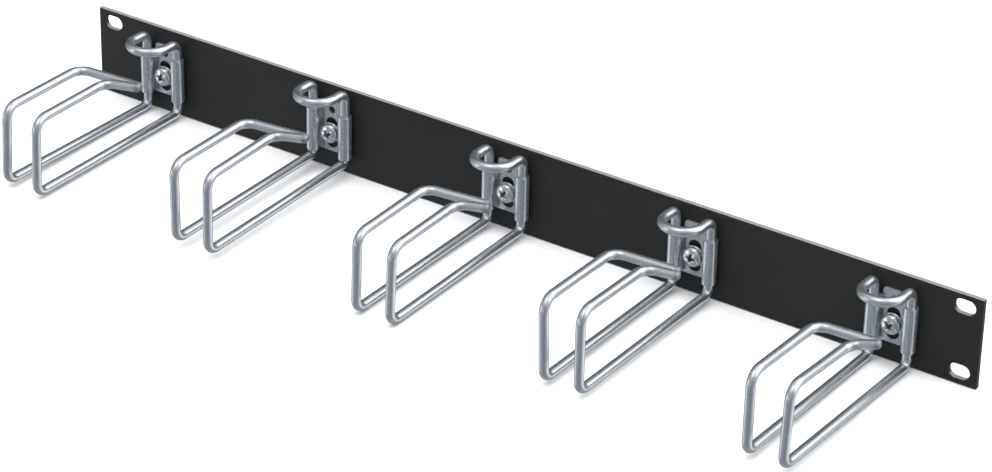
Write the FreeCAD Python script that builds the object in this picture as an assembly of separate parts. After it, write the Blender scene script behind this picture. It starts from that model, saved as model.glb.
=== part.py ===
import FreeCAD, Part
import math, os

os.makedirs("parts", exist_ok=True)
V = FreeCAD.Vector

# ---------------------------------------------------------------------------
# 19-inch, 1U horizontal cable manager: a flat face panel that carries five
# double-loop wire rings, each held by a rolled clip plate and one screw.
# Frame: origin in the middle of the panel's rear mounting face, X along the
# panel, +Z up, -Y out of the rack towards the rings.  All sizes in mm.
# ---------------------------------------------------------------------------

# face panel
PANEL_W = 482.6            # 19-inch rack panel width
PANEL_H = 43.65            # 1U panel height
PANEL_T = 2.5              # sheet thickness
PANEL_EDGE_R = 0.35        # softened front and rear edges
RACK_SLOT_DX = 465.1       # slot centres across the panel
RACK_SLOT_DZ = 31.75       # slot centres up the panel
RACK_SLOT_L = 10.3         # overall slot length, along X
RACK_SLOT_W = 6.8          # slot width
FIX_HOLE_D = 5.5           # clearance hole for each ring screw

# ring layout
RING_COUNT = 5
RING_PITCH = 100.0

# bent wire
WIRE_D = 4.5
LOOP_DX = 18.4             # the two loops, centre to centre
LEG_FIT = 0.05             # play between wire and rolled sleeve
BEND_R = 5.0               # lower front bends, centreline
LEG_BEND_R = 4.4           # bends from the lower runs into the legs, unless a ring has its own
FRONT_TOP_R = 6.5          # upper front bends
NECK_R = 7.0               # bends into the necks
NECK_TIP_R = 2.0           # rounding of the two wire ends
HOOK_R = 4.6               # bend from each leg into the lip
HOOK_REACH = 18.6          # the lip stands this far out from the legs
HOOK_RISE = 0.6            # and rises this much on the way
HOOK_CORNER_R = 9.1        # its two corners make one round U

# The rings are bent one by one, so they differ by a millimetre or two.
# One row for each ring, left to right.  "left" and "right" are the two loops;
# each pair is (Y, Z) of a corner before rounding, on the wire's centreline.
RING_FORM = (
    dict(leg_top=18.2, leg_low=(-20.0, -19.1),
         top_left=(-107.4, 19.4), top_right=(-108.3, 18.5),
         low_left=(-109.3, -17.9), low_right=(-109.8, -18.6),
         neck_left=(-55.8, 19.1), neck_right=(-59.4, 18.6),
         tip_left=(26.9, -53.8, 19.1), tip_right=(29.6, -58.0, 21.3)),
    dict(leg_top=21.6, leg_low=(-15.7, -15.3), leg_bend=3.0,
         top_left=(-109.4, 22.0), top_right=(-108.7, 20.9),
         low_left=(-108.9, -16.1), low_right=(-109.1, -16.5),
         neck_left=(-57.8, 22.5), neck_right=(-60.4, 22.3),
         tip_left=(24.4, -54.1, 22.5), tip_right=(27.1, -58.1, 24.8)),
    dict(leg_top=19.0, leg_low=(-18.9, -18.4),
         top_left=(-107.2, 18.0), top_right=(-106.8, 17.0),
         low_left=(-108.1, -19.1), low_right=(-108.3, -19.4),
         neck_left=(-56.2, 19.2), neck_right=(-58.6, 18.1),
         tip_left=(22.9, -52.6, 19.2), tip_right=(25.7, -57.0, 20.4)),
    dict(leg_top=18.9, leg_low=(-18.9, -18.2),
         top_left=(-111.5, 21.4), top_right=(-110.8, 21.5),
         low_left=(-109.5, -17.9), low_right=(-110.7, -17.3),
         neck_left=(-58.0, 20.7), neck_right=(-61.3, 20.4),
         tip_left=(23.9, -55.9, 20.7), tip_right=(26.5, -60.6, 21.6)),
    dict(leg_top=17.8, leg_low=(-20.1, -19.8),
         top_left=(-108.9, 20.1), top_right=(-108.5, 19.9),
         low_left=(-109.2, -17.5), low_right=(-111.2, -16.8),
         neck_left=(-56.1, 18.3), neck_right=(-60.1, 17.0),
         tip_left=(20.9, -54.5, 18.3), tip_right=(22.9, -58.6, 20.9)),
)

# rolled clip plate
CLIP_T = 1.0
SLEEVE_LOW_Z = -12.5
SLEEVE_HIGH_Z = 9.4
CURL_DEG = 276.0           # how far each edge is rolled round its leg
TONGUE_HALF_W = 5.9
TONGUE_TOP_Z = 13.7
TONGUE_CORNER_R = 1.6
CLIP_SLOT_W = 6.6
CLIP_SLOT_LOW_Z = -10.6
CLIP_SLOT_HIGH_Z = 5.2
PILOT_D = 3.6
PILOT_Z = 9.1

# M5 pan-head screw, plain washer and hexagon nut
SCREW_Z = -2.4
SCREW_D = 5.0
SCREW_L = 10.0
HEAD_D = 9.5
HEAD_H = 3.7
RECESS_D = 4.9
RECESS_DEPTH = 2.6
RECESS_W = 1.25
RECESS_ANGLES = (18.0, 63.0, 36.0, 8.0, 52.0)
WASHER_D = 10.0
WASHER_HOLE = 5.3
WASHER_T = 1.0
NUT_AF = 8.0
NUT_H = 4.7

# derived planes
FACE_Y = -PANEL_T                                # front face of the panel
LEG_Y = FACE_Y - CLIP_T - LEG_FIT - WIRE_D / 2   # leg centreline
CLIP_FACE_Y = FACE_Y - CLIP_T                    # front of the clip's web
HEAD_Y = CLIP_FACE_Y - WASHER_T                  # under the screw head
RING_X = [(i - (RING_COUNT - 1) / 2.0) * RING_PITCH for i in range(RING_COUNT)]


def save(shape, name):
    """Write one piece, after confirming that it is sound."""
    if not shape.isValid():
        raise RuntimeError("invalid shape: " + name)
    if len(shape.Solids) != 1:
        raise RuntimeError("%s has %d solids" % (name, len(shape.Solids)))
    solid = shape.Solids[0]
    solid.exportStep("parts/%s.step" % name)
    b = solid.BoundBox
    print("%-16s vol %10.1f  x %7.1f %7.1f  y %7.1f %6.1f  z %6.1f %6.1f" % (
        name, solid.Volume, b.XMin, b.XMax, b.YMin, b.YMax, b.ZMin, b.ZMax))
    return solid


def obround_y(length, width, y0, y1, cx, cz, along_x=True):
    """Solid slot cutter that runs from y0 to y1, round at both ends."""
    half = (length - width) / 2.0
    r = width / 2.0
    if along_x:
        a, b = V(cx - half, y0, cz), V(cx + half, y0, cz)
        body = Part.makeBox(2 * half, y1 - y0, width, V(cx - half, y0, cz - r))
    else:
        a, b = V(cx, y0, cz - half), V(cx, y0, cz + half)
        body = Part.makeBox(width, y1 - y0, 2 * half, V(cx - r, y0, cz - half))
    ends = [Part.makeCylinder(r, y1 - y0, p, V(0, 1, 0)) for p in (a, b)]
    return body.fuse(ends).removeSplitter()


def rounded_route(points, radii):
    """Straight runs joined by tangent arcs; one radius for each inner point."""
    edges = []
    start = points[0]
    for i in range(1, len(points) - 1):
        p, r = points[i], radii[i - 1]
        a = (points[i - 1] - p).normalize()
        b = (points[i + 1] - p).normalize()
        half = math.acos(max(-1.0, min(1.0, a.dot(b)))) / 2.0
        t = r / math.tan(half)
        t0, t1 = p + a * t, p + b * t
        mid_dir = (a + b).normalize()
        centre = p + mid_dir * (r / math.sin(half))
        edges.append(Part.LineSegment(start, t0).toShape())
        edges.append(Part.Arc(t0, centre - mid_dir * r, t1).toShape())
        start = t1
    edges.append(Part.LineSegment(start, points[-1]).toShape())
    return Part.Wire(edges)


def make_panel():
    body = Part.makeBox(PANEL_W, PANEL_T, PANEL_H,
                        V(-PANEL_W / 2, FACE_Y, -PANEL_H / 2))
    body = body.makeFillet(PANEL_EDGE_R, body.Edges)
    cuts = []
    for sx in (-1, 1):
        for sz in (-1, 1):
            cuts.append(obround_y(RACK_SLOT_L, RACK_SLOT_W, FACE_Y - 1, 1,
                                  sx * RACK_SLOT_DX / 2, sz * RACK_SLOT_DZ / 2))
    for x in RING_X:
        cuts.append(Part.makeCylinder(FIX_HOLE_D / 2, PANEL_T + 2,
                                      V(x, FACE_Y - 1, SCREW_Z), V(0, 1, 0)))
    return body.cut(cuts)


def make_ring_wire(cx, form):
    """One bent wire: neck, left loop, left leg, lip, right leg, right loop,
    neck."""
    h = LOOP_DX / 2
    xl, xr = cx - h, cx + h
    leg_top = form["leg_top"]
    lip_y, lip_z = LEG_Y - HOOK_REACH, leg_top + HOOK_RISE
    tl, tr = form["tip_left"], form["tip_right"]
    pts = [
        V(cx + tl[0], tl[1], tl[2]),
        V(xl, *form["neck_left"]),
        V(xl, *form["top_left"]),
        V(xl, *form["low_left"]),
        V(xl, LEG_Y, form["leg_low"][0]),
        V(xl, LEG_Y, leg_top),
        V(xl, lip_y, lip_z),
        V(xr, lip_y, lip_z),
        V(xr, LEG_Y, leg_top),
        V(xr, LEG_Y, form["leg_low"][1]),
        V(xr, *form["low_right"]),
        V(xr, *form["top_right"]),
        V(xr, *form["neck_right"]),
        V(cx + tr[0], tr[1], tr[2]),
    ]
    leg_r = form.get("leg_bend", LEG_BEND_R)
    radii = [NECK_R, FRONT_TOP_R, BEND_R, leg_r, HOOK_R, HOOK_CORNER_R,
             HOOK_CORNER_R, HOOK_R, leg_r, BEND_R, FRONT_TOP_R, NECK_R]
    route = rounded_route(pts, radii)
    first = (pts[1] - pts[0]).normalize()
    ring = Part.Wire([Part.Circle(pts[0], first, WIRE_D / 2).toShape()])
    wire = route.makePipeShell([ring], True, False)
    solid = wire if wire.ShapeType == "Solid" else Part.Solid(wire.Shells[0])
    if solid.Volume < 0:
        solid = Part.Solid(solid.Shells[0].reversed())
    # round the two ends
    ends = []
    for e in solid.Edges:
        if isinstance(e.Curve, Part.Circle):
            c = e.Curve.Center
            if min((c - pts[0]).Length, (c - pts[-1]).Length) < 1e-4:
                ends.append(e)
    solid = solid.makeFillet(NECK_TIP_R, ends)
    want = math.pi * (WIRE_D / 2) ** 2 * route.Length
    return solid, want, route.Length


def make_clip(cx):
    """Flat web against the panel, both edges rolled round the legs, a tongue
    that rises between them, one slot for the screw and one small hole."""
    ri = WIRE_D / 2 + LEG_FIT
    ro = ri + CLIP_T
    rm = (ri + ro) / 2
    h = LOOP_DX / 2
    parts = []
    height = SLEEVE_HIGH_Z - SLEEVE_LOW_Z
    web = Part.makeBox(LOOP_DX, CLIP_T, height,
                       V(cx - h, CLIP_FACE_Y, SLEEVE_LOW_Z))
    parts.append(web)
    for side in (-1, 1):
        c = V(cx + side * h, LEG_Y, SLEEVE_LOW_Z)

        def at(r, deg):
            # 0 deg points at the panel, growing outwards, forwards, inwards
            a = math.radians(deg)
            return V(c.x + side * r * math.sin(a), c.y + r * math.cos(a), c.z)

        end = CURL_DEG
        outer = Part.Arc(at(ro, 0), at(ro, end / 2), at(ro, end)).toShape()
        inner = Part.Arc(at(ri, end), at(ri, end / 2), at(ri, 0)).toShape()
        tip = Part.LineSegment(at(ro, end), at(ri, end)).toShape()
        root = Part.LineSegment(at(ri, 0), at(ro, 0)).toShape()
        face = Part.Face(Part.Wire([outer, tip, inner, root]))
        parts.append(face.extrude(V(0, 0, height)))
    tongue = Part.makeBox(2 * TONGUE_HALF_W, CLIP_T,
                          TONGUE_TOP_Z - SLEEVE_HIGH_Z + 2,
                          V(cx - TONGUE_HALF_W, CLIP_FACE_Y, SLEEVE_HIGH_Z - 2))
    top = [e for e in tongue.Edges
           if abs(e.CenterOfMass.z - TONGUE_TOP_Z) < 1e-6
           and abs(abs(e.CenterOfMass.x - cx) - TONGUE_HALF_W) < 1e-6]
    tongue = tongue.makeFillet(TONGUE_CORNER_R, top)
    clip = parts[0].fuse(parts[1:] + [tongue]).removeSplitter()
    length = CLIP_SLOT_HIGH_Z - CLIP_SLOT_LOW_Z
    mid = (CLIP_SLOT_HIGH_Z + CLIP_SLOT_LOW_Z) / 2
    slot = obround_y(length, CLIP_SLOT_W, CLIP_FACE_Y - 1, FACE_Y + 1, cx, mid,
                     along_x=False)
    pilot = Part.makeCylinder(PILOT_D / 2, CLIP_T + 2,
                              V(cx, CLIP_FACE_Y - 1, PILOT_Z), V(0, 1, 0))
    clip = clip.cut([slot, pilot])
    return clip


def make_screw(cx, angle):
    """Pan head with a cross recess, on a plain shank."""
    r = HEAD_D / 2

    def p(rad, up):
        # profile point: distance from the axis, height above the bearing face
        return V(cx + rad, HEAD_Y - up, SCREW_Z)

    s = SCREW_D / 2
    tail = -SCREW_L
    edges = [
        Part.Arc(p(0, HEAD_H), p(2.5, HEAD_H - 0.36), p(4.05, HEAD_H - 1.12)).toShape(),
        Part.Arc(p(4.05, HEAD_H - 1.12), p(4.56, HEAD_H - 1.75), p(r, HEAD_H - 2.6)).toShape(),
        Part.LineSegment(p(r, HEAD_H - 2.6), p(r, 0.25)).toShape(),
        Part.LineSegment(p(r, 0.25), p(r - 0.25, 0)).toShape(),
        Part.LineSegment(p(r - 0.25, 0), p(s, 0)).toShape(),
        Part.LineSegment(p(s, 0), p(s, tail + 0.7)).toShape(),
        Part.LineSegment(p(s, tail + 0.7), p(s - 0.7, tail)).toShape(),
        Part.LineSegment(p(s - 0.7, tail), p(0, tail)).toShape(),
        Part.LineSegment(p(0, tail), p(0, HEAD_H)).toShape(),
    ]
    face = Part.Face(Part.Wire(edges))
    axis = V(cx, HEAD_Y, SCREW_Z)
    body = face.revolve(axis, V(0, 1, 0), 360)
    body = body if body.ShapeType == "Solid" else Part.Solid(body.Shells[0])
    if body.Volume < 0:
        body = Part.Solid(body.Shells[0].reversed())
    # tapered cross recess
    wings = []
    for turn in (0.0, 90.0):
        up = HEAD_H + 0.3
        low = HEAD_H - RECESS_DEPTH
        w = RECESS_W / 2
        a = [V(cx - RECESS_D / 2 - 0.25, HEAD_Y - up, SCREW_Z - w),
             V(cx + RECESS_D / 2 + 0.25, HEAD_Y - up, SCREW_Z - w),
             V(cx + 0.95, HEAD_Y - low, SCREW_Z - w),
             V(cx - 0.95, HEAD_Y - low, SCREW_Z - w)]
        wing = Part.Face(Part.makePolygon(a + [a[0]])).extrude(V(0, 0, 2 * w))
        wing.rotate(axis, V(0, 1, 0), angle + turn)
        wings.append(wing)
    hub = Part.makeCone(0.7, 1.35, RECESS_DEPTH + 0.3,
                        V(cx, HEAD_Y - (HEAD_H - RECESS_DEPTH), SCREW_Z), V(0, -1, 0))
    return body.cut(wings + [hub]).removeSplitter()


def make_washer(cx):
    c = V(cx, HEAD_Y, SCREW_Z)
    disc = Part.makeCylinder(WASHER_D / 2, WASHER_T, c, V(0, 1, 0))
    front = [e for e in disc.Edges if isinstance(e.Curve, Part.Circle)
             and abs(e.Curve.Center.y - HEAD_Y) < 1e-6]
    disc = disc.makeFillet(0.25, front)
    hole = Part.makeCylinder(WASHER_HOLE / 2, WASHER_T + 2,
                             V(cx, HEAD_Y - 1, SCREW_Z), V(0, 1, 0))
    return disc.cut(hole)


def make_nut(cx):
    """Hexagon nut with both corner faces chamfered; its bore fits the shank."""
    rad = NUT_AF / 2 / math.cos(math.pi / 6)
    pts = [V(cx + rad * math.cos(math.radians(60 * i)), 0,
             SCREW_Z + rad * math.sin(math.radians(60 * i))) for i in range(6)]
    body = Part.Face(Part.makePolygon(pts + [pts[0]])).extrude(V(0, NUT_H, 0))
    ch = 0.45
    lathe = [(0, 0), (rad - ch * 1.7, 0), (rad + 0.02, ch), (rad + 0.02, NUT_H - ch),
             (rad - ch * 1.7, NUT_H), (0, NUT_H)]
    prof = [V(cx + a, b, SCREW_Z) for a, b in lathe]
    env = Part.Face(Part.makePolygon(prof + [prof[0]])).revolve(
        V(cx, 0, SCREW_Z), V(0, 1, 0), 360)
    body = body.common(env)
    bore = Part.makeCylinder(SCREW_D / 2 + 0.01, NUT_H + 2, V(cx, -1, SCREW_Z), V(0, 1, 0))
    return body.cut(bore)


if __name__ == "__main__":
    save(make_panel(), "face_panel")
    for n, x in enumerate(RING_X, start=1):
        wire, want, length = make_ring_wire(x, RING_FORM[n - 1])
        save(wire, "ring_wire_%d" % n)
        print("   wire length %.1f mm, volume ratio %.4f" % (length, wire.Volume / want))
        save(make_clip(x), "clip_plate_%d" % n)
        save(make_screw(x, RECESS_ANGLES[n - 1]), "clip_screw_%d" % n)
        save(make_washer(x), "plain_washer_%d" % n)
        save(make_nut(x), "hex_nut_%d" % n)
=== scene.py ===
import math

import bmesh
import bpy
from mathutils import Matrix, Vector


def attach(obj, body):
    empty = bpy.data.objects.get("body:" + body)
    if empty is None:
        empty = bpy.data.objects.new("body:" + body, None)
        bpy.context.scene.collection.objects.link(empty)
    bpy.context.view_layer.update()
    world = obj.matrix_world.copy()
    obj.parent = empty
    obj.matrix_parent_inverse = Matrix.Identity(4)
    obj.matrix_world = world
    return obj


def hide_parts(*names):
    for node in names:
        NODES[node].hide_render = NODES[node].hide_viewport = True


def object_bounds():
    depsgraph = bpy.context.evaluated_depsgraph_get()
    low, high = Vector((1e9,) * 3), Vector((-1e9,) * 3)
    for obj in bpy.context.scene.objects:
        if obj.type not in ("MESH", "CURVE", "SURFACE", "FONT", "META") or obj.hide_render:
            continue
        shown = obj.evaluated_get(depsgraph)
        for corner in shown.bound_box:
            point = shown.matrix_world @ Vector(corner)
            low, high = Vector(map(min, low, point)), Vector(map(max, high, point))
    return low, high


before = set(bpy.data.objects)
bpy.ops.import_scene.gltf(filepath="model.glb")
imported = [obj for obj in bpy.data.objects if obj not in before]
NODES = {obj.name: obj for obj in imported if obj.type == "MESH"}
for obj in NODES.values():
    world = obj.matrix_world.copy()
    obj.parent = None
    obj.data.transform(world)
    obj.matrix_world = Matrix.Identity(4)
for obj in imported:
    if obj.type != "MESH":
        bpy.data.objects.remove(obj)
cad_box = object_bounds()
MM = 0.001

# --------------------------------------------------------------------------
# dimensions shared with the CAD model, in millimetres
# --------------------------------------------------------------------------
PANEL_W, PANEL_H, PANEL_T = 482.6, 43.65, 2.5
RING_X = (-200.0, -100.0, 0.0, 100.0, 200.0)
WIRE_R = 2.245
LOOP_DX = 18.4
LEG_Y = -5.8
CLIP_FACE_Y = -3.5
HEAD_Y = -4.5
SCREW_Z = -2.4
RECESS_ANGLES = (18.0, 63.0, 36.0, 8.0, 52.0)
# corner positions of each bent ring, as (Y, Z) or (X from the ring, Y, Z)
RING_FORM = (
    dict(leg_top=18.2, leg_low=(-20.0, -19.1),
         top_left=(-107.4, 19.4), top_right=(-108.3, 18.5),
         low_left=(-109.3, -17.9), low_right=(-109.8, -18.6),
         neck_left=(-55.8, 19.1), neck_right=(-59.4, 18.6),
         tip_left=(26.9, -53.8, 19.1), tip_right=(29.6, -58.0, 21.3)),
    dict(leg_top=21.6, leg_low=(-15.7, -15.3), leg_bend=3.0,
         top_left=(-109.4, 22.0), top_right=(-108.7, 20.9),
         low_left=(-108.9, -16.1), low_right=(-109.1, -16.5),
         neck_left=(-57.8, 22.5), neck_right=(-60.4, 22.3),
         tip_left=(24.4, -54.1, 22.5), tip_right=(27.1, -58.1, 24.8)),
    dict(leg_top=19.0, leg_low=(-18.9, -18.4),
         top_left=(-107.2, 18.0), top_right=(-106.8, 17.0),
         low_left=(-108.1, -19.1), low_right=(-108.3, -19.4),
         neck_left=(-56.2, 19.2), neck_right=(-58.6, 18.1),
         tip_left=(22.9, -52.6, 19.2), tip_right=(25.7, -57.0, 20.4)),
    dict(leg_top=18.9, leg_low=(-18.9, -18.2),
         top_left=(-111.5, 21.4), top_right=(-110.8, 21.5),
         low_left=(-109.5, -17.9), low_right=(-110.7, -17.3),
         neck_left=(-58.0, 20.7), neck_right=(-61.3, 20.4),
         tip_left=(23.9, -55.9, 20.7), tip_right=(26.5, -60.6, 21.6)),
    dict(leg_top=17.8, leg_low=(-20.1, -19.8),
         top_left=(-108.9, 20.1), top_right=(-108.5, 19.9),
         low_left=(-109.2, -17.5), low_right=(-111.2, -16.8),
         neck_left=(-56.1, 18.3), neck_right=(-60.1, 17.0),
         tip_left=(20.9, -54.5, 18.3), tip_right=(22.9, -58.6, 20.9)),
)


# --------------------------------------------------------------------------
# camera: from the front right, a little above, with a long lens
# --------------------------------------------------------------------------
def make_camera():
    az, el, roll = (math.radians(v) for v in (33.711, 28.886, 1.321))
    back = Vector((math.sin(az) * math.cos(el), -math.cos(az) * math.cos(el), math.sin(el)))
    fwd = -back
    right = Vector((math.cos(az), math.sin(az), 0.0))
    up = right.cross(fwd)
    r2 = right * math.cos(roll) + up * math.sin(roll)
    u2 = up * math.cos(roll) - right * math.sin(roll)
    at = Vector((-6.697, -2.5, -28.202)) * MM
    eye = at + back * (1671.15 * MM)
    data = bpy.data.cameras.new("camera")
    data.sensor_fit = "HORIZONTAL"
    data.sensor_width = 36.0
    data.lens = 3625.156 / 992.0 * 36.0
    data.clip_start = 0.05
    data.clip_end = 60.0
    cam = bpy.data.objects.new("camera", data)
    m = Matrix((r2, u2, back)).transposed().to_4x4()
    m.translation = eye
    cam.matrix_world = m
    bpy.context.scene.collection.objects.link(cam)
    bpy.context.scene.camera = cam
    return cam


# --------------------------------------------------------------------------
# small mesh helpers
# --------------------------------------------------------------------------
def add_object(name, verts, faces, smooth=True, uvs=None):
    me = bpy.data.meshes.new(name)
    me.from_pydata([tuple(v) for v in verts], [], faces)
    if uvs is not None:
        layer = me.uv_layers.new(name="uv")
        for i, uv in enumerate(uvs):
            layer.data[i].uv = uv
    me.validate()
    me.update()
    if smooth:
        me.polygons.foreach_set("use_smooth", [True] * len(me.polygons))
    ob = bpy.data.objects.new(name, me)
    bpy.context.scene.collection.objects.link(ob)
    return ob


def outward(bm):
    """Turn every face of a closed shell outwards."""
    bmesh.ops.recalc_face_normals(bm, faces=bm.faces)
    if bm.calc_volume(signed=True) < 0:
        bmesh.ops.reverse_faces(bm, faces=bm.faces)


def paint(ob, name, values):
    """Store one number for each vertex, for the materials to read."""
    layer = ob.data.attributes.new(name, "FLOAT", "POINT")
    layer.data.foreach_set("value", values)


def fix_normals(ob):
    bm = bmesh.new()
    bm.from_mesh(ob.data)
    outward(bm)
    bm.to_mesh(ob.data)
    bm.free()


def weighted(ob):
    m = ob.modifiers.new("weighted", "WEIGHTED_NORMAL")
    m.mode = "FACE_AREA"
    m.weight = 60
    m.keep_sharp = True


def place(ob, node, mat):
    """Put a finished piece on the frame in place of its CAD node."""
    ob.data.materials.clear()
    ob.data.materials.append(mat)
    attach(ob, "root")
    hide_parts(node)
    return ob


# --------------------------------------------------------------------------
# material helpers
# --------------------------------------------------------------------------
class Mat:
    def __init__(self, name):
        self.mat = bpy.data.materials.new(name)
        self.mat.use_nodes = True
        self.nt = self.mat.node_tree
        self.nt.nodes.clear()
        self.out = self.n("ShaderNodeOutputMaterial")
        self.bsdf = self.n("ShaderNodeBsdfPrincipled")
        self.link(self.bsdf.outputs[0], self.out.inputs["Surface"])

    def n(self, kind, **kw):
        node = self.nt.nodes.new(kind)
        for k, v in kw.items():
            setattr(node, k, v)
        return node

    def link(self, a, b):
        self.nt.links.new(a, b)

    def coord(self, which="Object"):
        return self.n("ShaderNodeTexCoord").outputs[which]

    def attribute(self, name):
        node = self.n("ShaderNodeAttribute")
        node.attribute_type = "GEOMETRY"
        node.attribute_name = name
        return node.outputs["Fac"]

    def mapped(self, src, scale):
        m = self.n("ShaderNodeMapping")
        m.inputs["Scale"].default_value = scale
        self.link(src, m.inputs["Vector"])
        return m.outputs["Vector"]

    def noise(self, vec, scale, detail=3.0, rough=0.5, distort=0.0):
        t = self.n("ShaderNodeTexNoise")
        t.inputs["Scale"].default_value = scale
        t.inputs["Detail"].default_value = detail
        t.inputs["Roughness"].default_value = rough
        t.inputs["Distortion"].default_value = distort
        self.link(vec, t.inputs["Vector"])
        return t.outputs["Fac"]

    def ramp(self, src, stops, interp="LINEAR"):
        r = self.n("ShaderNodeValToRGB")
        cr = r.color_ramp
        cr.interpolation = interp
        while len(cr.elements) > 1:
            cr.elements.remove(cr.elements[-1])
        cr.elements[0].position = stops[0][0]
        cr.elements[0].color = self._c(stops[0][1])
        for p, c in stops[1:]:
            e = cr.elements.new(p)
            e.color = self._c(c)
        self.link(src, r.inputs["Fac"])
        return r.outputs["Color"]

    @staticmethod
    def _c(c):
        if isinstance(c, (int, float)):
            return (c, c, c, 1.0)
        return (*c, 1.0)

    def range(self, src, a, b, c, d):
        m = self.n("ShaderNodeMapRange")
        m.inputs["From Min"].default_value = a
        m.inputs["From Max"].default_value = b
        m.inputs["To Min"].default_value = c
        m.inputs["To Max"].default_value = d
        self.link(src, m.inputs["Value"])
        return m.outputs["Result"]

    def math(self, op, a, b=None, clamp=False):
        m = self.n("ShaderNodeMath", operation=op)
        m.use_clamp = clamp
        for i, v in enumerate((a, b)):
            if v is None:
                continue
            if isinstance(v, (int, float)):
                m.inputs[i].default_value = v
            else:
                self.link(v, m.inputs[i])
        return m.outputs[0]

    def mix(self, fac, a, b):
        m = self.n("ShaderNodeMix", data_type="RGBA")
        if isinstance(fac, (int, float)):
            m.inputs[0].default_value = fac
        else:
            self.link(fac, m.inputs[0])
        for i, v in ((6, a), (7, b)):
            if isinstance(v, (tuple, list, int, float)):
                m.inputs[i].default_value = self._c(v)
            else:
                self.link(v, m.inputs[i])
        return m.outputs[2]

    def bump(self, height, strength, dist, prev=None):
        b = self.n("ShaderNodeBump")
        b.inputs["Strength"].default_value = strength
        b.inputs["Distance"].default_value = dist
        self.link(height, b.inputs["Height"])
        if prev is not None:
            self.link(prev, b.inputs["Normal"])
        return b.outputs["Normal"]

    def set(self, name, v):
        sock = self.bsdf.inputs[name]
        if isinstance(v, (int, float)):
            sock.default_value = v
        elif isinstance(v, (tuple, list)):
            sock.default_value = self._c(v)
        else:
            self.link(v, sock)


def panel_material():
    """Satin black powder coat: very fine orange peel, slightly uneven gloss,
    a few rub marks."""
    m = Mat("panel_coating")
    co = m.coord("Object")
    cloud = m.noise(co, 9.0, 4.0, 0.55)
    peel = m.noise(co, 1500.0, 2.0, 0.5)
    grain = m.noise(co, 4200.0, 1.0, 0.5)
    rub = m.noise(m.mapped(co, (30.0, 30.0, 900.0)), 1.0, 5.0, 0.62, 0.3)
    rubs = m.ramp(rub, [(0.60, 0.0), (0.78, 1.0)])
    tint = m.mix(m.range(cloud, 0.35, 0.65, 0.0, 1.0), (0.0128, 0.0126, 0.0124), (0.0164, 0.0162, 0.0160))
    speck = m.ramp(m.noise(co, 2600.0, 0.0), [(0.72, 0.0), (0.80, 1.0)])
    tint = m.mix(m.math("MULTIPLY", speck, 0.25), tint, (0.034, 0.034, 0.034))
    # the up- and down-facing faces (the long sheared edges and the slot walls) are lightened: partly bare
    # metal where the coat is cut, partly a painted sheen standing in for light glancing off the top edge
    sep = m.n("ShaderNodeSeparateXYZ")
    m.link(m.coord("Normal"), sep.inputs[0])
    cut_and_sheen_mask = m.ramp(m.math("ABSOLUTE", sep.outputs["Z"]), [(0.45, 0.0), (0.80, 1.0)])
    shear = m.noise(m.mapped(co, (700.0, 9000.0, 900.0)), 1.0, 4.0, 0.6)
    bare_and_sheen_tone = m.mix(m.range(shear, 0.3, 0.7, 0.0, 1.0), (0.15, 0.154, 0.158), (0.31, 0.31, 0.315))
    # painted sheen and bare edge: faces that face up or down are mixed towards light grey
    m.set("Base Color", m.mix(m.math("MULTIPLY", cut_and_sheen_mask, 0.92), tint, bare_and_sheen_tone))
    rough = m.range(cloud, 0.3, 0.7, 0.40, 0.50)
    rough = m.math("ADD", rough, m.range(peel, 0.2, 0.8, -0.04, 0.04))
    rough = m.math("SUBTRACT", rough, m.math("MULTIPLY", rubs, 0.05))
    m.set("Roughness", rough)
    m.set("Specular IOR Level", 0.30)
    n1 = m.bump(peel, 0.20, 0.00012)
    m.set("Normal", m.bump(grain, 0.10, 0.00005, n1))
    return m.mat


def wire_material():
    """Bright zinc on drawn wire: lines along the wire, faint blue cast, dull
    patches and small nicks."""
    m = Mat("zinc_wire")
    uv = m.coord("UV")
    ob = m.coord("Object")
    # uv.x is metres along the wire, uv.y once round it
    lines = m.noise(m.mapped(uv, (9.0, 60.0, 1.0)), 1.0, 6.0, 0.66)
    fine = m.noise(m.mapped(uv, (40.0, 190.0, 1.0)), 1.0, 3.0, 0.6)
    patch = m.noise(ob, 90.0, 4.0, 0.6, 0.4)
    spangle = m.noise(ob, 900.0, 2.0, 0.55)
    nick = m.ramp(m.noise(m.mapped(uv, (700.0, 14.0, 1.0)), 1.0, 1.0, 0.4), [(0.78, 0.0), (0.84, 1.0)])
    base = m.mix(m.range(patch, 0.35, 0.68, 0.0, 1.0), (0.71, 0.74, 0.77), (0.65, 0.68, 0.715))
    base = m.mix(m.range(lines, 0.62, 0.80, 0.0, 0.40), base, (0.47, 0.50, 0.54))
    base = m.mix(m.math("MULTIPLY", nick, 0.5), base, (0.80, 0.80, 0.80))
    end = m.attribute("cut_end")
    base = m.mix(end, base, (0.36, 0.38, 0.41))
    m.set("Base Color", base)
    m.set("Metallic", 0.93)
    # fine crystals, some polished by drawing and some matt
    grain = m.ramp(m.noise(ob, 5200.0, 1.0), [(0.40, 0.0), (0.60, 1.0)])
    rough = m.math("ADD", m.range(patch, 0.3, 0.7, 0.13, 0.19), m.math("MULTIPLY", grain, 0.22))
    rough = m.math("ADD", rough, m.math("MULTIPLY", end, 0.25))
    rough = m.math("ADD", rough, m.range(lines, 0.3, 0.7, -0.03, 0.06))
    rough = m.math("ADD", rough, m.math("MULTIPLY", nick, 0.10))
    m.set("Roughness", rough)
    m.set("Anisotropic", 0.35)
    h = m.bump(lines, 0.12, 0.00010)
    h = m.bump(fine, 0.08, 0.00005, h)
    h = m.bump(spangle, 0.05, 0.00008, h)
    m.set("Normal", m.bump(nick, 0.25, 0.00010, h))
    return m.mat


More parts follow.
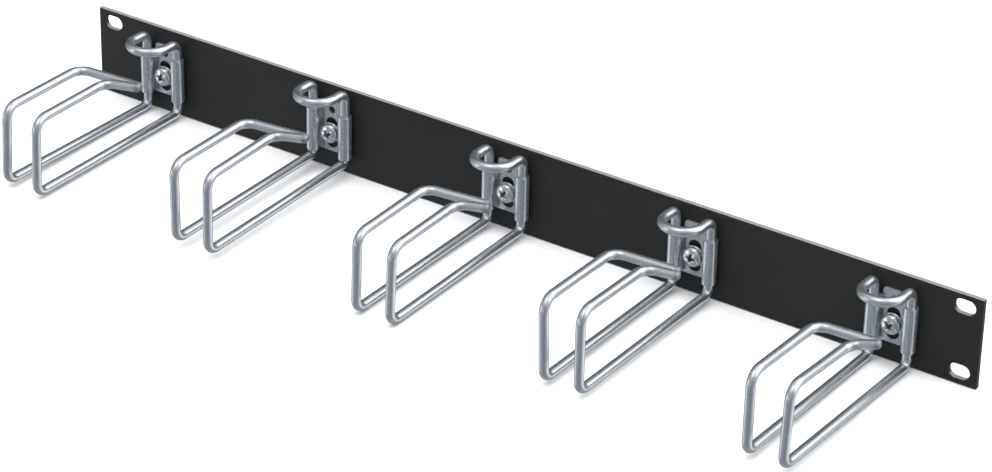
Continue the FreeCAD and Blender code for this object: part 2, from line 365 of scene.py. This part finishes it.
def sheet_material():
    """Bright zinc on pressed sheet: rolling lines, forming scuffs on the curls,
    cloudy plating."""
    m = Mat("zinc_sheet")
    uv = m.coord("UV")
    ob = m.coord("Object")
    roll = m.noise(m.mapped(uv, (260.0, 5200.0, 1.0)), 1.0, 4.0, 0.62)
    cloud = m.noise(ob, 160.0, 4.0, 0.6, 0.6)
    scuff = m.noise(m.mapped(uv, (2200.0, 130.0, 1.0)), 1.0, 5.0, 0.7, 0.2)
    scuffs = m.ramp(scuff, [(0.56, 0.0), (0.72, 1.0)])
    base = m.mix(m.range(cloud, 0.33, 0.68, 0.0, 1.0), (0.64, 0.68, 0.72), (0.58, 0.62, 0.66))
    base = m.mix(m.math("MULTIPLY", scuffs, 0.12), base, (0.72, 0.74, 0.76))
    m.set("Base Color", base)
    m.set("Metallic", 0.88)
    grain = m.ramp(m.noise(ob, 5200.0, 1.0), [(0.40, 0.0), (0.60, 1.0)])
    rough = m.math("ADD", m.range(cloud, 0.3, 0.7, 0.10, 0.16), m.math("MULTIPLY", grain, 0.17))
    rough = m.math("ADD", rough, m.range(roll, 0.3, 0.7, -0.02, 0.02))
    rough = m.math("ADD", rough, m.math("MULTIPLY", scuffs, 0.05))
    m.set("Roughness", rough)
    m.set("Anisotropic", 0.25)
    h = m.bump(roll, 0.08, 0.00003)
    h = m.bump(cloud, 0.05, 0.00010, h)
    m.set("Normal", m.bump(scuffs, 0.05, 0.00003, h))
    return m.mat


def screw_material(name="screw_steel", warm=0.0):
    """Clear-passivated machine screw: near-white, tumbled edges."""
    m = Mat(name)
    ob = m.coord("Object")
    tumble = m.noise(ob, 700.0, 4.0, 0.62, 0.3)
    cloud = m.noise(ob, 220.0, 3.0, 0.55)
    pits = m.ramp(m.noise(ob, 2300.0, 1.0), [(0.66, 0.0), (0.78, 1.0)])
    base = m.mix(m.range(cloud, 0.35, 0.66, 0.0, 1.0), (0.88 + warm, 0.89 + warm * 0.7, 0.905), (0.79 + warm, 0.80 + warm * 0.7, 0.825))
    base = m.mix(m.math("MULTIPLY", pits, 0.18), base, (0.42, 0.42, 0.43))
    # painted shade: the base colour darkens with depth down in the cross recess, standing in for the shade
    # that falls there
    base = m.mix(m.ramp(m.attribute("recess"), [(0.02, 0.0), (0.30, 0.78)]), base, (0.10, 0.10, 0.105))
    m.set("Base Color", base)
    m.set("Metallic", 0.96)
    rough = m.range(tumble, 0.3, 0.7, 0.08, 0.19)
    rough = m.math("ADD", rough, m.math("MULTIPLY", pits, 0.12))
    m.set("Roughness", rough)
    h = m.bump(tumble, 0.10, 0.00008)
    m.set("Normal", m.bump(pits, 0.10, 0.00003, h))
    return m.mat


# --------------------------------------------------------------------------
# the bent wire
# --------------------------------------------------------------------------
def wire_points(cx, form):
    h = LOOP_DX / 2
    xl, xr = cx - h, cx + h
    top = form["leg_top"]
    lip_y, lip_z = LEG_Y - 18.6, top + 0.6
    tl, tr = form["tip_left"], form["tip_right"]
    pts = [
        (cx + tl[0], tl[1], tl[2]), (xl, *form["neck_left"]), (xl, *form["top_left"]),
        (xl, *form["low_left"]), (xl, LEG_Y, form["leg_low"][0]), (xl, LEG_Y, top),
        (xl, lip_y, lip_z), (xr, lip_y, lip_z),
        (xr, LEG_Y, top), (xr, LEG_Y, form["leg_low"][1]), (xr, *form["low_right"]),
        (xr, *form["top_right"]), (xr, *form["neck_right"]), (cx + tr[0], tr[1], tr[2])]
    leg_r = form.get("leg_bend", 4.4)
    radii = [7.0, 6.5, 5.0, leg_r, 4.6, 9.1, 9.1, 4.6, leg_r, 5.0, 6.5, 7.0]
    return [Vector(p) for p in pts], radii


def route_samples(pts, radii, step=2.0, arc_deg=5.0):
    """Points along straight runs and tangent arcs, each with its distance and
    the direction to the bend's centre (zero on a run)."""
    out = []
    start = pts[0]
    dist = 0.0

    def run(a, b, d0, last):
        n = max(1, int(math.ceil((b - a).length / step)))
        for i in range(n + (1 if last else 0)):
            t = i / n
            out.append((a.lerp(b, t), d0 + (b - a).length * t, Vector((0, 0, 0)), 0.0))
        return d0 + (b - a).length

    for i in range(1, len(pts) - 1):
        p, r = pts[i], radii[i - 1]
        a = (pts[i - 1] - p).normalized()
        b = (pts[i + 1] - p).normalized()
        half = math.acos(max(-1.0, min(1.0, a.dot(b)))) / 2
        t = r / math.tan(half)
        t0, t1 = p + a * t, p + b * t
        c = p + (a + b).normalized() * (r / math.sin(half))
        dist = run(start, t0, dist, False)
        u, v = (t0 - c), (t1 - c)
        w = u.angle(v)
        n = max(3, int(math.ceil(math.degrees(w) / arc_deg)))
        for k in range(n):
            s = k / n
            q = c + (u * math.sin((1 - s) * w) + v * math.sin(s * w)) / math.sin(w)
            fade = min(1.0, min(s, 1 - s) * 5.0)
            out.append((q, dist + r * w * s, (c - q).normalized(), fade))
        dist += r * w
        start = t1
    run(start, pts[-1], dist, True)
    return out


def make_wire(name, cx, form):
    pts, radii = wire_points(cx, form)
    sm = route_samples(pts, radii)
    n_around = 36
    total = sm[-1][1]
    # tangents
    P = [s[0] for s in sm]
    T = []
    for i in range(len(P)):
        a = P[max(0, i - 1)]
        b = P[min(len(P) - 1, i + 1)]
        T.append((b - a).normalized())
    # frames carried along without twist
    ref = Vector((0, 0, 1)) if abs(T[0].z) < 0.9 else Vector((1, 0, 0))
    N = [(ref - T[0] * ref.dot(T[0])).normalized()]
    for i in range(1, len(P)):
        n = N[-1] - T[i] * N[-1].dot(T[i])
        N.append(n.normalized())
    tip = 2.0
    steps = 7
    stations = []
    # the ends are rounded over by a quarter circle of radius `tip`
    for k in range(steps):
        a = math.pi / 2 * k / steps           # 0 at the flat end, 90 at full size
        z = tip * (1 - math.cos(a))           # distance from the end face
        r = WIRE_R - tip + tip * math.sin(a)
        stations.append((P[0] + T[0] * z, T[0], N[0], z, r, Vector((0, 0, 0)), 0.0))
    for i in range(len(P)):
        d = sm[i][1]
        if d < tip * 0.999 or d > total - tip * 0.999:
            continue
        stations.append((P[i], T[i], N[i], d, WIRE_R, sm[i][2], sm[i][3]))
    for k in reversed(range(steps)):
        a = math.pi / 2 * k / steps
        z = tip * (1 - math.cos(a))
        r = WIRE_R - tip + tip * math.sin(a)
        stations.append((P[-1] - T[-1] * z, T[-1], N[-1], total - z, r, Vector((0, 0, 0)), 0.0))
    verts, faces, uvs = [], [], []
    for (p, t, n, d, r, inward, w) in stations:
        b = t.cross(n)
        for j in range(n_around):
            a = 2 * math.pi * j / n_around
            off = (n * math.cos(a) + b * math.sin(a)) * r
            if w > 0:
                along = off.dot(inward)
                # bent wire is squeezed a little towards and away from the bend
                off -= inward * along * 0.035 * w
            verts.append((p + off) * MM)
    m = len(stations)
    v_of = lambda i, j: i * n_around + j % n_around
    for i in range(m - 1):
        for j in range(n_around):
            faces.append((v_of(i, j), v_of(i, j + 1), v_of(i + 1, j + 1), v_of(i + 1, j)))
            u0, u1 = stations[i][3] * MM, stations[i + 1][3] * MM
            w0, w1 = j / n_around, (j + 1) / n_around
            uvs += [(u0, w0), (u0, w1), (u1, w1), (u1, w0)]
    # end faces: triangles round a centre point
    for (i, sgn) in ((0, 1), (m - 1, -1)):
        c = len(verts)
        verts.append(stations[i][0] * MM)
        for j in range(n_around):
            tri = (c, v_of(i, j + 1), v_of(i, j)) if sgn > 0 else (c, v_of(i, j), v_of(i, j + 1))
            faces.append(tri)
            base = stations[i][3] * MM
            uvs += [(base, 0.5), (base, (j + 1) / n_around), (base, j / n_around)]
    ob = add_object(name, verts, faces, True, uvs)
    ends = [1.0 if min(st[3], total - st[3]) < tip * 0.85 else 0.0 for st in stations for _ in range(n_around)]
    paint(ob, "cut_end", ends + [1.0, 1.0])
    fix_normals(ob)
    return ob


# --------------------------------------------------------------------------
# flat blanks with holes: outline, pierce, thicken, round the edges
# --------------------------------------------------------------------------
def circle_pts(cx, cy, r, n, a0=0.0, a1=2 * math.pi, closed=True):
    steps = n if closed else n - 1
    return [(cx + r * math.cos(a0 + (a1 - a0) * i / steps), cy + r * math.sin(a0 + (a1 - a0) * i / steps)) for i in range(n)]


def obround_pts(cx, cy, length, width, n=24, along="x"):
    r = width / 2
    h = length / 2 - r
    pts = circle_pts(h, 0, r, n, -math.pi / 2, math.pi / 2, False) + circle_pts(-h, 0, r, n, math.pi / 2, 3 * math.pi / 2, False)
    if along == "y":
        pts = [(-y, x) for x, y in pts]
    return [(cx + x, cy + y) for x, y in pts]


def blank(outline, holes, thick, edge_r, segs):
    """bmesh of a flat plate: the profile in x, y and the thickness from z=0 to
    z=thick, with its cut edges rounded by edge_r."""
    bm = bmesh.new()
    edges = []
    for loop in [outline] + holes:
        vs = [bm.verts.new((x, y, 0.0)) for x, y in loop]
        for a, b in zip(vs, vs[1:] + vs[:1]):
            edges.append(bm.edges.new((a, b)))
    bmesh.ops.triangle_fill(bm, use_beauty=True, use_dissolve=False, edges=edges, normal=(0, 0, 1))
    geom = bmesh.ops.extrude_face_region(bm, geom=list(bm.faces))
    top = [g for g in geom["geom"] if isinstance(g, bmesh.types.BMVert)]
    bmesh.ops.translate(bm, vec=(0, 0, thick), verts=top)
    bmesh.ops.recalc_face_normals(bm, faces=bm.faces)
    sharp = [e for e in bm.edges if len(e.link_faces) == 2 and e.calc_face_angle(0) > math.radians(50)]
    bmesh.ops.bevel(bm, geom=sharp, offset=edge_r, offset_type="OFFSET", segments=segs, profile=0.5, affect="EDGES", clamp_overlap=True)
    bmesh.ops.recalc_face_normals(bm, faces=bm.faces)
    return bm


def to_object(bm, name):
    me = bpy.data.meshes.new(name)
    bm.to_mesh(me)
    bm.free()
    me.polygons.foreach_set("use_smooth", [True] * len(me.polygons))
    ob = bpy.data.objects.new(name, me)
    bpy.context.scene.collection.objects.link(ob)
    return ob


def make_panel():
    w, h = PANEL_W / 2, PANEL_H / 2
    outline = [(-w, -h), (w, -h), (w, h), (-w, h)]
    holes = []
    for sx in (-1, 1):
        for sz in (-1, 1):
            holes.append(obround_pts(sx * 465.1 / 2, sz * 31.75 / 2, 10.3, 6.8, 24))
    for x in RING_X:
        holes.append(circle_pts(x, SCREW_Z, 2.75, 40))
    bm = blank(outline, holes, PANEL_T, 0.35, 4)
    # profile x, y -> x, z; thickness -> from the front face back
    for v in bm.verts:
        x, z, t = v.co
        v.co = Vector((x, -PANEL_T + t, z)) * MM
    outward(bm)
    ob = to_object(bm, "panel")
    weighted(ob)
    return ob


def make_clip(name, cx):
    h = LOOP_DX / 2
    rm = WIRE_R + 0.05 + 0.5
    curl = math.radians(276.0)
    U = h + rm * curl
    lo, hi, top, tw = -12.5, 9.4, 13.7, 5.9
    cr = 1.6
    outline = [(-U, lo), (U, lo), (U, hi), (tw, hi)]
    outline += circle_pts(tw - cr, top - cr, cr, 9, 0, math.pi / 2, False)
    outline += circle_pts(-tw + cr, top - cr, cr, 9, math.pi / 2, math.pi, False)
    outline += [(-tw, hi), (-U, hi)]
    holes = [obround_pts(0, (5.2 - 10.6) / 2, 15.8, 6.6, 22, "y"), circle_pts(0, 9.1, 1.8, 36)]
    bm = blank(outline, holes, 1.0, 0.26, 4)
    # cuts across the two curls, so that they can roll
    n = 40
    for side in (-1, 1):
        for k in range(0, n):
            u = side * (h + rm * curl * k / n)
            bmesh.ops.bisect_plane(bm, geom=list(bm.verts) + list(bm.edges) + list(bm.faces),
                                   dist=1e-6, plane_co=(u, 0, 0), plane_no=(1, 0, 0))
    uv = bm.loops.layers.uv.new("uv")
    for f in bm.faces:
        for lp in f.loops:
            c = lp.vert.co
            lp[uv].uv = (c.x * MM, c.y * MM)
    for v in bm.verts:
        u, z, t = v.co
        d = t - 0.5                      # + towards the front, - towards the panel
        if abs(u) <= h:
            x, y = u, -3.0 - d
        else:
            s = 1 if u > 0 else -1
            phi = (abs(u) - h) / rm
            r = rm - d
            x = s * (h + r * math.sin(phi))
            y = LEG_Y + r * math.cos(phi)
        v.co = Vector((cx + x, y, z)) * MM
    outward(bm)
    ob = to_object(bm, name)
    weighted(ob)
    return ob


# --------------------------------------------------------------------------
# screw, washer and nut
# --------------------------------------------------------------------------
def head_height(r):
    """Height of the pan head's crown above its bearing face."""
    H = 3.7
    if r <= 4.05:
        R = (4.05 ** 2 + 1.12 ** 2) / (2 * 1.12)
        return H - (R - math.sqrt(R * R - r * r))
    return H - 1.12


def recess_depth(x, y):
    """Tapered cross recess with softly rounded lips."""
    def wing(a, c):
        a, c = abs(a), abs(c)
        length = 2.6 * max(0.0, min(1.0, (2.45 - a) / 1.5))
        half = 0.60
        if c <= half:
            side = 9.0
        elif c <= half + 0.07:
            side = 2.6 * (1 - (c - half) / 0.07) ** 1.0
        elif c <= half + 0.19:
            side = 0.035 * (1 - (c - half - 0.07) / 0.12)
        else:
            side = 0.0
        if 2.45 <= a < 2.62 and c < half:
            length = 0.03 * (1 - (a - 2.45) / 0.17)
        return min(length, side) if length > 0 else 0.0
    r = math.hypot(x, y)
    hub = max(0.0, min(2.6, (1.28 - r) * 9.0))
    return max(wing(x, y), wing(y, x), hub)


def make_screw(name, cx, angle):
    R = 4.05
    inner = [0.0, 0.12, 0.26, 0.40, 0.52, 0.60, 0.67, 0.73, 0.79, 0.90, 1.02, 1.14, 1.26, 1.40, 1.55, 1.70, 1.86, 2.02, 2.18, 2.32, 2.45, 2.54, 2.62]
    m0 = 0.70
    c = inner[-1] / (m0 * R)
    us = [q / (c * R) for q in inner] + [0.745, 0.79, 0.84, 0.89, 0.945, 1.0]
    line = [-u for u in reversed(us[1:])] + us
    n = len(line)
    ca, sa = math.cos(math.radians(angle)), math.sin(math.radians(angle))

    def head_xyz(x, z, up):
        # turn the recess by `angle` about the axis; up is away from the panel
        return Vector((cx + x * ca + z * sa, HEAD_Y - up, SCREW_Z - x * sa + z * ca)) * MM

    verts, faces, idx, depths = [], [], {}, []
    for j, v in enumerate(line):
        for i, u in enumerate(line):
            m = max(abs(u), abs(v))
            sq = (u * c * R, v * c * R)
            if m > m0:
                t = (m - m0) / (1 - m0)
                t = t * t * (3 - 2 * t)
                k = math.hypot(u, v)
                circ = (u / k * m * R, v / k * m * R)
                px = sq[0] * (1 - t) + circ[0] * t
                py = sq[1] * (1 - t) + circ[1] * t
            else:
                px, py = sq
            r = math.hypot(px, py)
            deep = recess_depth(px, py)
            depths.append(max(0.0, deep - 0.05) / 2.6)
            up = head_height(min(r, R)) - deep
            idx[(i, j)] = len(verts)
            verts.append(head_xyz(px, py, up))
    for j in range(n - 1):
        for i in range(n - 1):
            faces.append((idx[(i, j)], idx[(i + 1, j)], idx[(i + 1, j + 1)], idx[(i, j + 1)]))
    # rim of the grid, in order
    rim = [(i, 0) for i in range(n - 1)] + [(n - 1, j) for j in range(n - 1)] + [(i, n - 1) for i in range(n - 1, 0, -1)] + [(0, j) for j in range(n - 1, 0, -1)]
    prev = [idx[k] for k in rim]
    angs = []
    for k in prev:
        p = verts[k] / MM
        dx, dz = p.x - cx, p.z - SCREW_Z
        angs.append(math.atan2(dz, dx))
    # side of the head
    H = 3.7
    side = [(4.30, H - 1.34), (4.50, H - 1.62), (4.64, H - 1.95), (4.72, H - 2.28), (4.75, H - 2.62), (4.75, 0.55), (4.72, 0.30), (4.63, 0.12), (4.48, 0.02), (4.40, 0.0)]

    def ring_at(rad, up, angles):
        out = []
        for a in angles:
            out.append(len(verts))
            verts.append(Vector((cx + rad * math.cos(a), HEAD_Y - up, SCREW_Z + rad * math.sin(a))) * MM)
        return out

    def stitch(a, b):
        k = len(a)
        for i in range(k):
            faces.append((a[i], a[(i + 1) % k], b[(i + 1) % k], b[i]))

    for rad, up in side:
        cur = ring_at(rad, up, angs)
        stitch(prev, cur)
        prev = cur
    cur = ring_at(2.72, 0.0, angs)
    stitch(prev, cur)
    prev = cur
    # threaded shank, pitch 0.8, with a plain neck and a pointed lead
    pitch, tail = 0.8, 10.0
    lead = 0.7
    steps = int(tail / pitch * 8)
    for s in range(0, steps + 1):
        z = 0.02 + (tail - 0.02) * s / steps
        out = []
        for a in angs:
            ph = ((z / pitch) - a / (2 * math.pi)) % 1.0
            tri = 1 - abs(2 * ph - 1)                 # 0 root .. 1 crest
            tri = max(0.06, min(0.90, tri))
            tri = (tri - 0.06) / 0.84
            r = 2.04 + (2.48 - 2.04) * tri
            neck = max(0.0, min(1.0, (z - 0.25) / 0.6))
            r = 2.48 * (1 - neck) + r * neck if z < 0.85 else r
            if z > tail - lead:
                r = min(r, 2.48 - (z - (tail - lead)) * 0.75)
            out.append(len(verts))
            verts.append(Vector((cx + r * math.cos(a), HEAD_Y + z, SCREW_Z + r * math.sin(a))) * MM)
        stitch(prev, out)
        prev = out
    cidx = len(verts)
    verts.append(Vector((cx, HEAD_Y + tail, SCREW_Z)) * MM)
    k = len(prev)
    for i in range(k):
        faces.append((prev[i], prev[(i + 1) % k], cidx))
    ob = add_object(name, verts, faces, True)
    paint(ob, "recess", depths + [0.0] * (len(verts) - len(depths)))
    fix_normals(ob)
    return ob


def lathe(name, cx, y0, profile, n=96):
    """Closed ring turned about the screw's axis; profile is (radius, depth)."""
    verts, faces = [], []
    m = len(profile)
    for i in range(n):
        a = 2 * math.pi * i / n
        for r, d in profile:
            verts.append(Vector((cx + r * math.cos(a), y0 + d, SCREW_Z + r * math.sin(a))) * MM)
    for i in range(n):
        for j in range(m):
            a, b = i * m + j, i * m + (j + 1) % m
            c, d = ((i + 1) % n) * m + (j + 1) % m, ((i + 1) % n) * m + j
            faces.append((a, b, c, d))
    ob = add_object(name, verts, faces, True)
    fix_normals(ob)
    return ob


def make_washer(name, cx):
    ro, ri, t = 5.0, 2.65, 1.0
    prof = [(ri, 0.12), (ri + 0.04, 0.04), (ri + 0.12, 0.0)]
    prof += [(ro - 0.30, 0.0), (ro - 0.16, 0.035), (ro - 0.06, 0.12), (ro, 0.27)]
    prof += [(ro, t - 0.10), (ro - 0.03, t - 0.03), (ro - 0.10, t)]
    prof += [(ri + 0.10, t), (ri + 0.03, t - 0.03), (ri, t - 0.10)]
    ob = lathe(name, cx, HEAD_Y, prof)
    weighted(ob)
    return ob


def make_nut(name, cx, turn):
    """Hexagon nut: chamfered corners meet the flats in curves, threaded bore."""
    af, H = 8.0, 4.7
    apo = af / 2
    n = 144
    verts, faces = [], []
    rows = []

    def hexr(a):
        k = (a + math.pi / 6) % (math.pi / 3) - math.pi / 6
        r = apo / math.cos(k)
        return min(r, apo / math.cos(math.pi / 6) - 0.06)

    r0 = apo * 0.955
    tan = math.tan(math.radians(30))

    def row(fr, fy):
        out = []
        for i in range(n):
            a = 2 * math.pi * i / n
            # corners point along X at turn 0, as in the CAD part
            r = fr(a)
            y = fy(a)
            out.append(len(verts))
            verts.append(Vector((cx + r * math.cos(a), y, SCREW_Z + r * math.sin(a))) * MM)
        rows.append(out)

    hx = lambda a: hexr(a + math.pi / 6)
    drop = lambda a: max(0.0, hx(a) - r0) * tan
    # outer skin from the bearing face to the outer face
    row(lambda a: 2.95, lambda a: 0.0)
    row(lambda a: r0 - 0.10, lambda a: 0.0)
    row(lambda a: r0, lambda a: 0.015)
    row(lambda a: hx(a) - 0.02, lambda a: drop(a) + 0.0)
    row(lambda a: hx(a), lambda a: drop(a) + 0.06)
    for k in range(1, 6):
        row(lambda a: hx(a), lambda a, k=k: (drop(a) + 0.06) * (1 - k / 6) + (H - drop(a) - 0.06) * k / 6)
    row(lambda a: hx(a), lambda a: H - drop(a) - 0.06)
    row(lambda a: hx(a) - 0.02, lambda a: H - drop(a))
    row(lambda a: r0, lambda a: H - 0.015)
    row(lambda a: r0 - 0.10, lambda a: H)
    row(lambda a: 2.95, lambda a: H)
    # countersink and thread, from the outer face back in
    row(lambda a: 2.80, lambda a: H - 0.05)
    pitch = 0.8
    steps = int(H / pitch * 8)
    for s in range(steps + 1):
        z = H - 0.30 - (H - 0.60) * s / steps

        def rr(a, z=z):
            ph = (((z + 4.5) / pitch) - a / (2 * math.pi)) % 1.0
            tri = 1 - abs(2 * ph - 1)
            tri = (max(0.10, min(0.94, tri)) - 0.10) / 0.84
            return 2.14 + (2.51 - 2.14) * tri
        row(rr, lambda a, z=z: z)
    row(lambda a: 2.80, lambda a: 0.05)
    m = len(rows)
    for k in range(m):
        a, b = rows[k], rows[(k + 1) % m]
        for i in range(n):
            faces.append((a[i], a[(i + 1) % n], b[(i + 1) % n], b[i]))
    ob = add_object(name, verts, faces, True)
    fix_normals(ob)
    # the flats meet the chamfers on a crisp line
    bm = bmesh.new()
    bm.from_mesh(ob.data)
    for e in bm.edges:
        if len(e.link_faces) == 2 and e.calc_face_angle(0) > math.radians(24):
            e.smooth = False
    bm.to_mesh(ob.data)
    bm.free()
    return ob


# --------------------------------------------------------------------------
# build
# --------------------------------------------------------------------------
make_camera()
MAT_PANEL = panel_material()
MAT_WIRE = wire_material()
MAT_SHEET = sheet_material()
MAT_SCREW = screw_material("screw_steel", 0.0)
MAT_NUT = screw_material("nut_steel", 0.02)

place(make_panel(), "face_panel", MAT_PANEL)
for i, x in enumerate(RING_X, start=1):
    place(make_wire("wire_ring_%d" % i, x, RING_FORM[i - 1]), "ring_wire_%d" % i, MAT_WIRE)
    place(make_clip("clip_%d" % i, x), "clip_plate_%d" % i, MAT_SHEET)
    place(make_screw("pan_screw_%d" % i, x, RECESS_ANGLES[i - 1]), "clip_screw_%d" % i, MAT_SCREW)
    place(make_washer("washer_%d" % i, x), "plain_washer_%d" % i, MAT_SCREW)
    place(make_nut("nut_%d" % i, x, 0.0), "hex_nut_%d" % i, MAT_NUT)


# --------------------------------------------------------------------------
# floor, light and background
# --------------------------------------------------------------------------
def make_floor():
    z = cad_box[0][2] - 0.0001
    s = 14.0
    ob = add_object("floor", [(-s, -s, z), (s, -s, z), (s, s, z), (-s, s, z)], [(0, 1, 2, 3)], False)
    m = Mat("floor")
    co = m.coord("Object")
    m.set("Base Color", m.mix(m.range(m.noise(co, 1.3, 2.0), 0.3, 0.7, 0.0, 1.0), (0.90, 0.90, 0.90), (0.93, 0.93, 0.93)))
    m.set("Roughness", 0.75)
    ob.data.materials.append(m.mat)
    ob.visible_glossy = False


def area_light(name, loc, target, size, power, color=(1, 1, 1)):
    d = bpy.data.lights.new(name, "AREA")
    d.shape = "RECTANGLE"
    d.size, d.size_y = size
    d.energy = power
    d.color = color
    ob = bpy.data.objects.new(name, d)
    ob.location = loc
    ob.rotation_euler = (Vector(target) - Vector(loc)).to_track_quat("-Z", "Y").to_euler()
    ob.visible_camera = False
    bpy.context.scene.collection.objects.link(ob)
    return ob


def make_world():
    """Soft studio surround: mid grey, with broad brighter and darker fields,
    smooth in direction, that the plated metal picks up."""
    w = bpy.data.worlds.new("studio")
    bpy.context.scene.world = w
    w.use_nodes = True
    nt = w.node_tree
    nt.nodes.clear()
    out = nt.nodes.new("ShaderNodeOutputWorld")
    bg = nt.nodes.new("ShaderNodeBackground")
    tc = nt.nodes.new("ShaderNodeTexCoord")
    sep = nt.nodes.new("ShaderNodeSeparateXYZ")
    nt.links.new(tc.outputs["Generated"], sep.inputs[0])
    ramp = nt.nodes.new("ShaderNodeValToRGB")
    hm = nt.nodes.new("ShaderNodeMapRange")
    hm.inputs["From Min"].default_value = -1.0
    hm.inputs["From Max"].default_value = 1.0
    nt.links.new(sep.outputs["Z"], hm.inputs["Value"])
    cr = ramp.color_ramp
    cr.elements[0].position = 0.0
    cr.elements[0].color = (0.30, 0.315, 0.335, 1)
    cr.elements[1].position = 1.0
    cr.elements[1].color = (0.70, 0.71, 0.72, 1)
    for pos, c in ((0.25, (0.29, 0.31, 0.335)), (0.50, (0.24, 0.255, 0.275)), (0.70, (0.34, 0.35, 0.37)), (0.875, (0.52, 0.53, 0.55))):
        e = cr.elements.new(pos)
        e.color = (*c, 1)
    nt.links.new(hm.outputs["Result"], ramp.inputs["Fac"])
    total = ramp.outputs["Color"]

    def field(direction, lo, hi, color, dark=False):
        """Add (or, for dark, multiply by) a smooth field round a direction."""
        nonlocal total
        d = Vector(direction).normalized()
        vm = nt.nodes.new("ShaderNodeVectorMath")
        vm.operation = "DOT_PRODUCT"
        nt.links.new(tc.outputs["Generated"], vm.inputs[0])
        vm.inputs[1].default_value = tuple(d)
        mr = nt.nodes.new("ShaderNodeMapRange")
        mr.interpolation_type = "SMOOTHSTEP"
        mr.inputs["From Min"].default_value = math.cos(math.radians(lo))
        mr.inputs["From Max"].default_value = math.cos(math.radians(hi))
        nt.links.new(vm.outputs["Value"], mr.inputs["Value"])
        mx = nt.nodes.new("ShaderNodeMix")
        mx.data_type = "RGBA"
        mx.blend_type = "MIX" if dark else "ADD"
        mx.clamp_result = False
        nt.links.new(mr.outputs["Result"], mx.inputs[0])
        nt.links.new(total, mx.inputs[6])
        mx.inputs[7].default_value = (*color, 1)
        total = mx.outputs[2]

    # the dark side of the room, behind the object and to its left
    field((-0.67, 0.67, 0.31), 58, 22, (0.035, 0.038, 0.045), dark=True)
    field((-0.486, 0.728, -0.483), 34, 10, (0.05, 0.053, 0.06), dark=True)
    # a darker patch low in front, towards the viewer's side
    field((0.60, -0.62, -0.50), 44, 12, (0.17, 0.185, 0.205), dark=True)
    # the key: a broad soft card behind and above, to the right
    field((0.702, 0.358, 0.616), 47, 18, (1.42, 1.42, 1.41))
    field((0.493, 0.679, 0.545), 13, 4, (0.50, 0.50, 0.50))
    field((0.918, 0.371, 0.139), 34, 8, (0.28, 0.28, 0.28))
    # smaller cards: low right, low left, high in front and at the left
    field((0.88, 0.10, -0.46), 24, 8, (0.40, 0.41, 0.42))
    field((-0.80, -0.36, -0.483), 19, 6, (0.80, 0.81, 0.84))
    field((0.02, -0.50, 0.866), 25, 8, (1.25, 1.25, 1.27))
    field((-0.743, -0.669, 0.035), 16, 5, (1.60, 1.60, 1.60))
    field((-0.03, -0.98, -0.02), 9, 3, (1.10, 1.10, 1.10))
    # a low card far to the right, for the right-hand bands of the sleeves
    field((0.629, 0.607, -0.483), 17, 5, (1.15, 1.16, 1.19))
    nt.links.new(total, bg.inputs["Color"])
    bg.inputs["Strength"].default_value = 1.0
    nt.links.new(bg.outputs[0], out.inputs["Surface"])


make_floor()
make_world()
area_light("overhead", (0.0, -0.1, 2.2), (0, -0.1, 0), (3.6, 3.6), 100).visible_glossy = False

sc = bpy.context.scene
sc.view_settings.view_transform = "Standard"
sc.view_settings.look = "None"
sc.view_settings.exposure = 0.0
